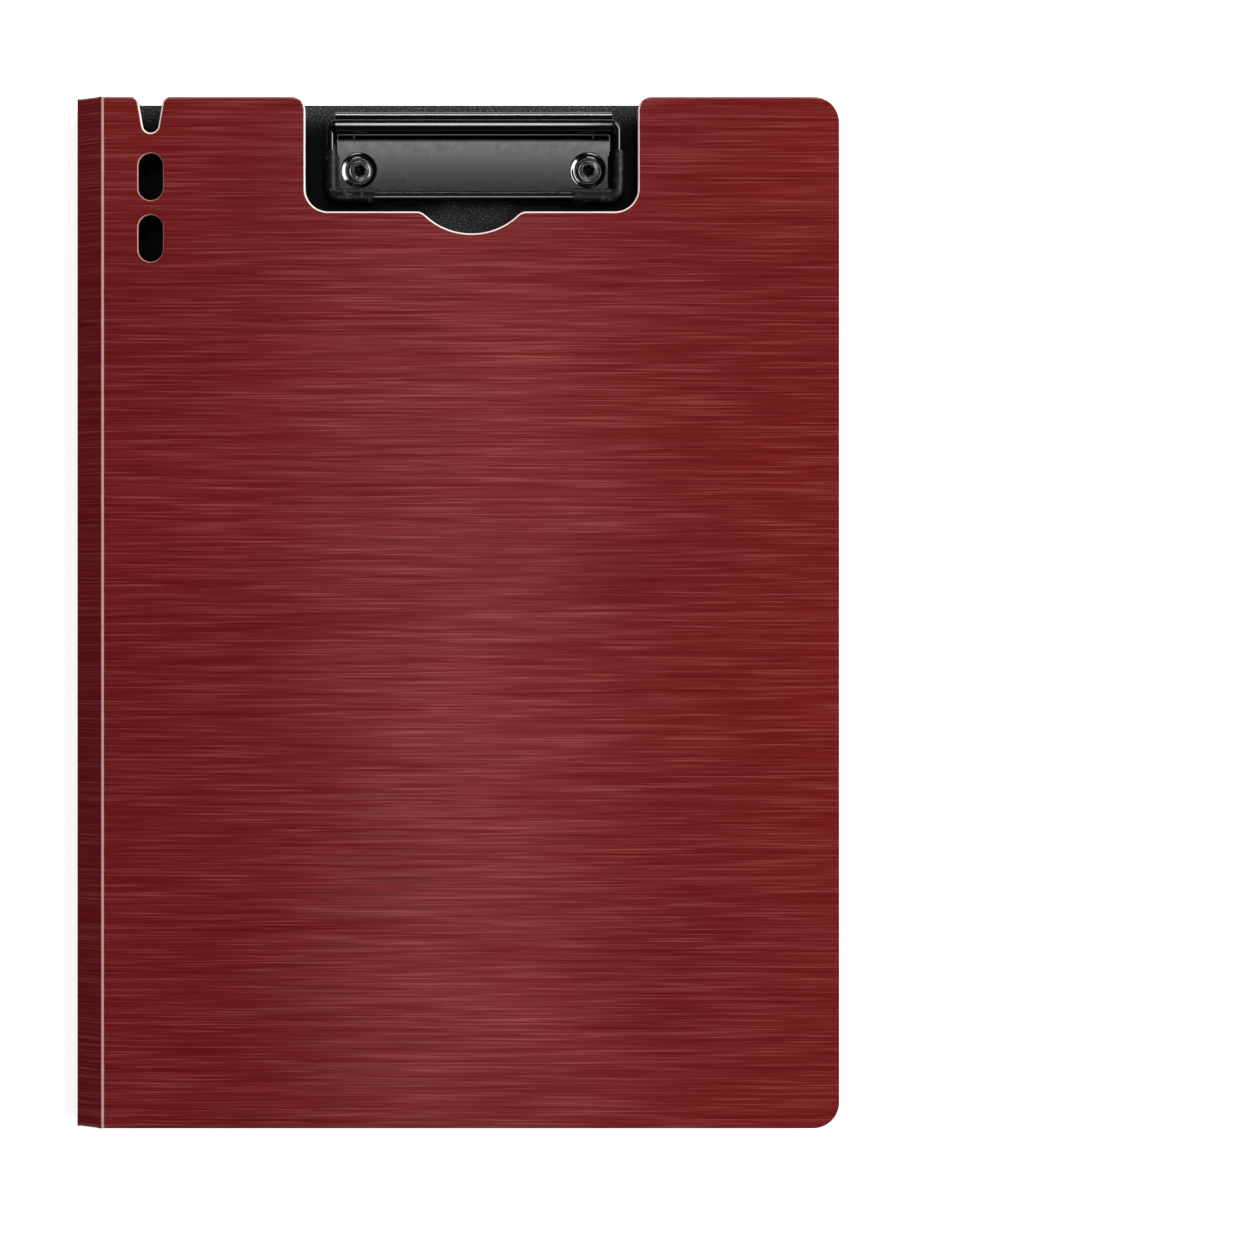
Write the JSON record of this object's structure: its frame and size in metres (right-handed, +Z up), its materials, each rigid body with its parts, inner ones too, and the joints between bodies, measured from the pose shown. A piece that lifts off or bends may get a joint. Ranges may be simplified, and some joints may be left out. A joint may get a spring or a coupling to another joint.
{
  "type": "clipboard folder",
  "caption": "A4 clipboard folder: hinged cover with clip window, pen slots and notch over a back board that carries a sprung wire clip",
  "frame": {"origin": "centre of the back board's outer face, in the plane that the closed folder lies on", "axes": "+X from the spine to the free edge, +Y along the height to the clip's end, +Z up through the cover"},
  "size_m": [0.2333, 0.315, 0.009],
  "materials": {
    "black_sheet": "fine-grained black polypropylene sheet",
    "red_film": "dark red laminated film with a fine brushed-metal look along the width, satin",
    "fold_web": "film stretched pale along the pressed fold",
    "clip_steel": "gloss black enamel on steel",
    "spring_steel": "bright drawn spring wire",
    "sleeve_rubber": "smooth soft black rubber",
    "rivet_steel": "gloss black enamel"
  },
  "bodies": {
    "back": {"back_board": "black_sheet", "back_film": "red_film", "crease_rear": "fold_web", "clip_plate": "clip_steel", "rivet_left": "rivet_steel", "rivet_right": "rivet_steel", "clip_spring_left": "spring_steel", "clip_spring_right": "spring_steel"},
    "spine_rear": {"spine_rear_strip": "black_sheet", "spine_rear_film": "red_film", "crease_middle": "fold_web"},
    "spine_front": {"spine_front_strip": "black_sheet", "spine_front_film": "red_film", "crease_front": "fold_web"},
    "cover": {"cover_board": "black_sheet", "cover_film": "red_film"},
    "bail": {"clip_bail": "clip_steel", "sleeve_left": "sleeve_rubber", "sleeve_right": "sleeve_rubber"}
  },
  "joints": [
    {"name": "rear_crease", "type": "hinge", "parent": "back", "child": "spine_rear", "pos_m": [-0.1152, 0, 0.0004], "axis": [0, -1, 0], "range_deg": [0, 67.56]},
    {"name": "middle_crease", "type": "hinge", "parent": "spine_rear", "child": "spine_front", "pos_m": [-0.11768, 0, 0.00641], "axis": [0, -1, 0], "range_deg": [0, 95.9]},
    {"name": "front_crease", "type": "hinge", "parent": "spine_front", "child": "cover", "pos_m": [-0.1103, 0, 0.0086], "axis": [0, -1, 0], "range_deg": [0, 16.54]},
    {"name": "bail_hinge", "type": "hinge", "parent": "back", "child": "bail", "pos_m": [0.0036, 0.1505, 0.0052], "axis": [-1, 0, 0], "range_deg": [0, 90], "stiffness_Nm_per_rad": 0.1, "springref_deg": -68.75}
  ]
}
